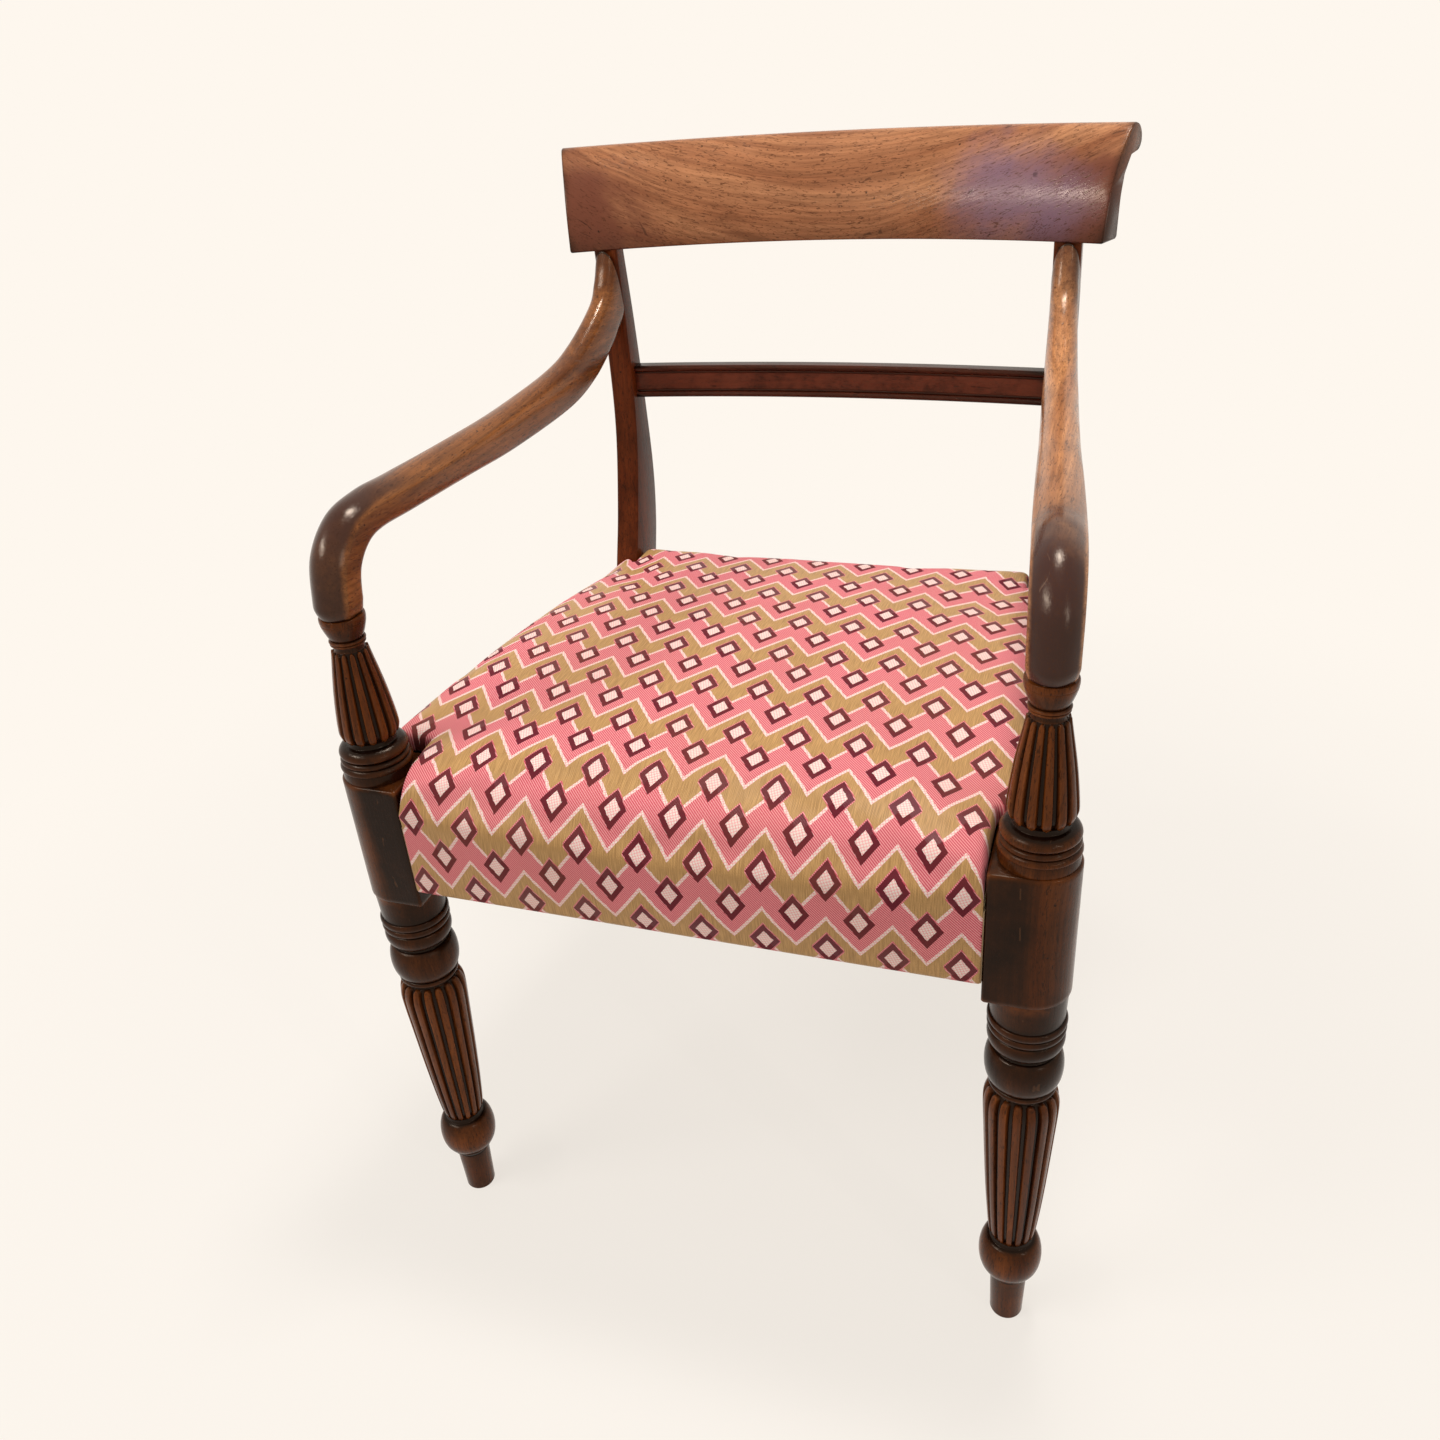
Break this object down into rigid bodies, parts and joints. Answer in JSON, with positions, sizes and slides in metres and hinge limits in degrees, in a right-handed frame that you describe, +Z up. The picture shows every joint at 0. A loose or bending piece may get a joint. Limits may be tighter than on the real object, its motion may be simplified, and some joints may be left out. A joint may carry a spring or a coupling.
{
  "type": "dining armchair",
  "caption": "Mahogany carver dining chair with turned reeded front posts, scroll arms, a bowed rolled crest rail and a stuff-over woven seat.",
  "frame": {"origin": "on the floor, under the middle of the chair's bounding box", "axes": "+Z up; the chair faces -Y; +X is on the right of someone who faces the chair"},
  "size_m": [0.5576, 0.5684, 0.8596],
  "materials": {
    "polished_mahogany": "French-polished, worn at the edges",
    "seat_frame_beech": "bare, aged",
    "screw_steel": "dull",
    "webbing_jute": "woven",
    "hessian_jute": "open weave",
    "stuffing_hair": "matted",
    "cover_weave": "patterned twill"
  },
  "bodies": {
    "root": {"front_post_left": "polished_mahogany", "front_post_right": "polished_mahogany", "rear_upright_left": "polished_mahogany", "rear_upright_right": "polished_mahogany", "arm_left": "polished_mahogany", "arm_right": "polished_mahogany", "crest_rail": "polished_mahogany", "mid_rail": "polished_mahogany", "arm_screw_plugs": "polished_mahogany", "front_seat_rail": "seat_frame_beech", "rear_seat_rail": "seat_frame_beech", "side_seat_rail_left": "seat_frame_beech", "side_seat_rail_right": "seat_frame_beech", "front_corner_block_left": "seat_frame_beech", "front_corner_block_right": "seat_frame_beech", "rear_corner_block_left": "seat_frame_beech", "rear_corner_block_right": "seat_frame_beech", "corner_block_screws": "screw_steel", "arm_screws": "screw_steel", "webbing_lengthways": "webbing_jute", "webbing_crossways": "webbing_jute", "hessian": "hessian_jute", "seat_stuffing": "stuffing_hair", "seat_cover": "cover_weave"}
  },
  "joints": []
}
